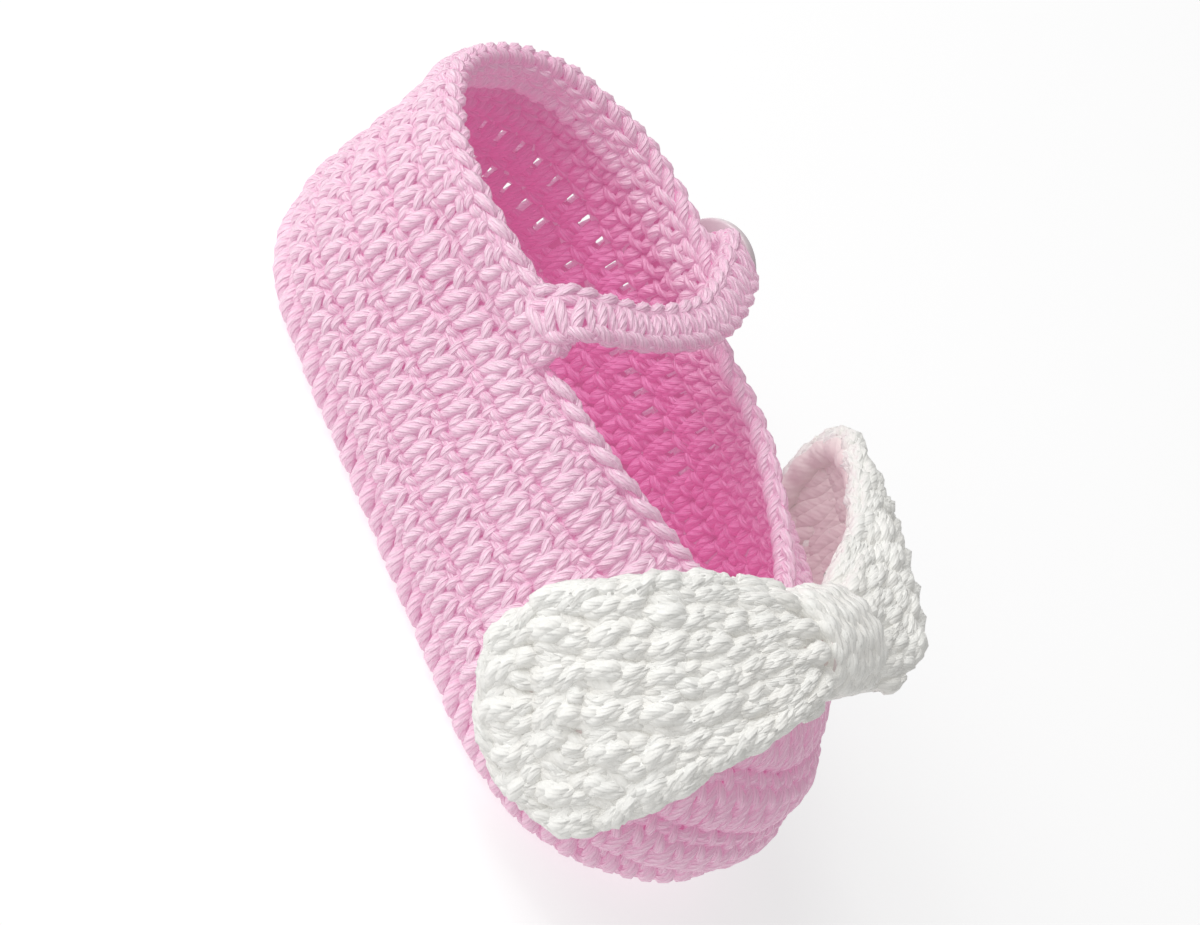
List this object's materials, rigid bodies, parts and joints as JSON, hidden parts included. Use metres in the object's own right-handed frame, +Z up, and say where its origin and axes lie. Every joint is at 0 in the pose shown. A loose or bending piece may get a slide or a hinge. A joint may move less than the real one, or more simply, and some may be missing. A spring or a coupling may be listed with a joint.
{
  "type": "crochet baby bootie",
  "caption": "Soft crocheted baby bootie with a low throat, an ankle band and strap buttoned on the outer side, and a broad white crocheted bow across the toe; left foot.",
  "frame": {"origin": "on the underside of the sole, half way along the sole's outline and on its middle line", "axes": "+X to the toe, +Y to the outer side of the foot where the strap buttons, +Z up from the floor"},
  "size_m": [0.1055, 0.0626, 0.0441],
  "materials": {
    "pink_yarn": "mercerised cotton yarn, worked in rounds",
    "white_yarn": "soft off-white cotton yarn, worked in puffy rows",
    "button_plastic": "smooth pale pink plastic"
  },
  "bodies": {
    "root": {"sole": "pink_yarn", "upper": "pink_yarn", "ankle_strap": "pink_yarn", "throat_edging": "pink_yarn", "button": "button_plastic", "bow_band": "white_yarn", "bow_knot": "white_yarn"}
  },
  "joints": []
}
